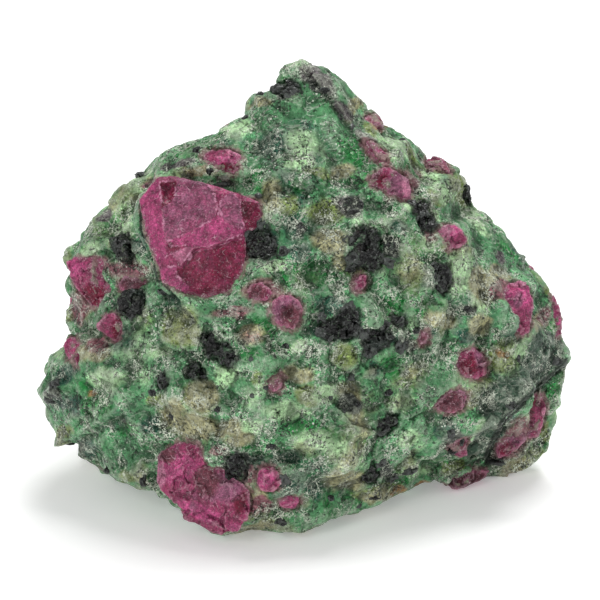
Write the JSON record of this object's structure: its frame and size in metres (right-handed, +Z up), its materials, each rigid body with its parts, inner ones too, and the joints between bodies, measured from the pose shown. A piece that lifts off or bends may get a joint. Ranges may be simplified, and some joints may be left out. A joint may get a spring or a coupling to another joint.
{
  "type": "ruby in zoisite specimen",
  "caption": "Rough broken hand specimen of green zoisite rock with ruby crystals and black hornblende grown into it, resting on one flat broken face.",
  "frame": {"origin": "centre of the bounding box, on the plane that the stone rests on", "axes": "+Z up, -Y towards the front with the large ruby, +X to the viewer's right, along the stone's longest extent"},
  "size_m": [0.061, 0.0445, 0.0499],
  "materials": {
    "zoisite": "rough, granular, slightly waxy, mottled from dark emerald to pale mint and olive",
    "ruby": "flat broken faces, purple pink to crimson, slightly translucent, with dusty pale edges",
    "hornblende": "black, knobbly, with small glints"
  },
  "bodies": {
    "root": {"hornblende_back_low": "hornblende", "hornblende_back_middle": "hornblende", "hornblende_back_upper": "hornblende", "hornblende_beside_large_ruby": "hornblende", "hornblende_centre": "hornblende", "hornblende_centre_right": "hornblende", "hornblende_centre_small": "hornblende", "hornblende_foot": "hornblende", "hornblende_foot_right": "hornblende", "hornblende_left": "hornblende", "hornblende_left_end": "hornblende", "hornblende_left_hollow": "hornblende", "hornblende_left_small": "hornblende", "hornblende_left_smallest": "hornblende", "hornblende_low_right": "hornblende", "hornblende_middle_large": "hornblende", "hornblende_peak": "hornblende", "hornblende_right": "hornblende", "hornblende_right_flank": "hornblende", "hornblende_upper_right": "hornblende", "ruby_back_large": "ruby", "ruby_back_low": "ruby", "ruby_back_rim": "ruby", "ruby_back_small": "ruby", "ruby_back_upper": "ruby", "ruby_band": "ruby", "ruby_band_streak": "ruby", "ruby_below_large": "ruby", "ruby_brow_left": "ruby", "ruby_centre_right_small": "ruby", "ruby_foot": "ruby", "ruby_foot_bead_lower": "ruby", "ruby_foot_bead_upper": "ruby", "ruby_front_round": "ruby", "ruby_front_small": "ruby", "ruby_large": "ruby", "ruby_ledge_edge": "ruby", "ruby_left_end": "ruby", "ruby_left_flank": "ruby", "ruby_left_flank_inner": "ruby", "ruby_left_flank_lower": "ruby", "ruby_left_rim": "ruby", "ruby_middle_small": "ruby", "ruby_overhang": "ruby", "ruby_ridge_right": "ruby", "ruby_right_edge": "ruby", "ruby_right_flank": "ruby", "ruby_right_low": "ruby", "ruby_right_middle": "ruby", "ruby_right_middle_lower": "ruby", "ruby_right_slope": "ruby", "ruby_shoulder_right": "ruby", "ruby_under_ledge": "ruby", "ruby_upper_right": "ruby", "zoisite_matrix": "zoisite"}
  },
  "joints": []
}
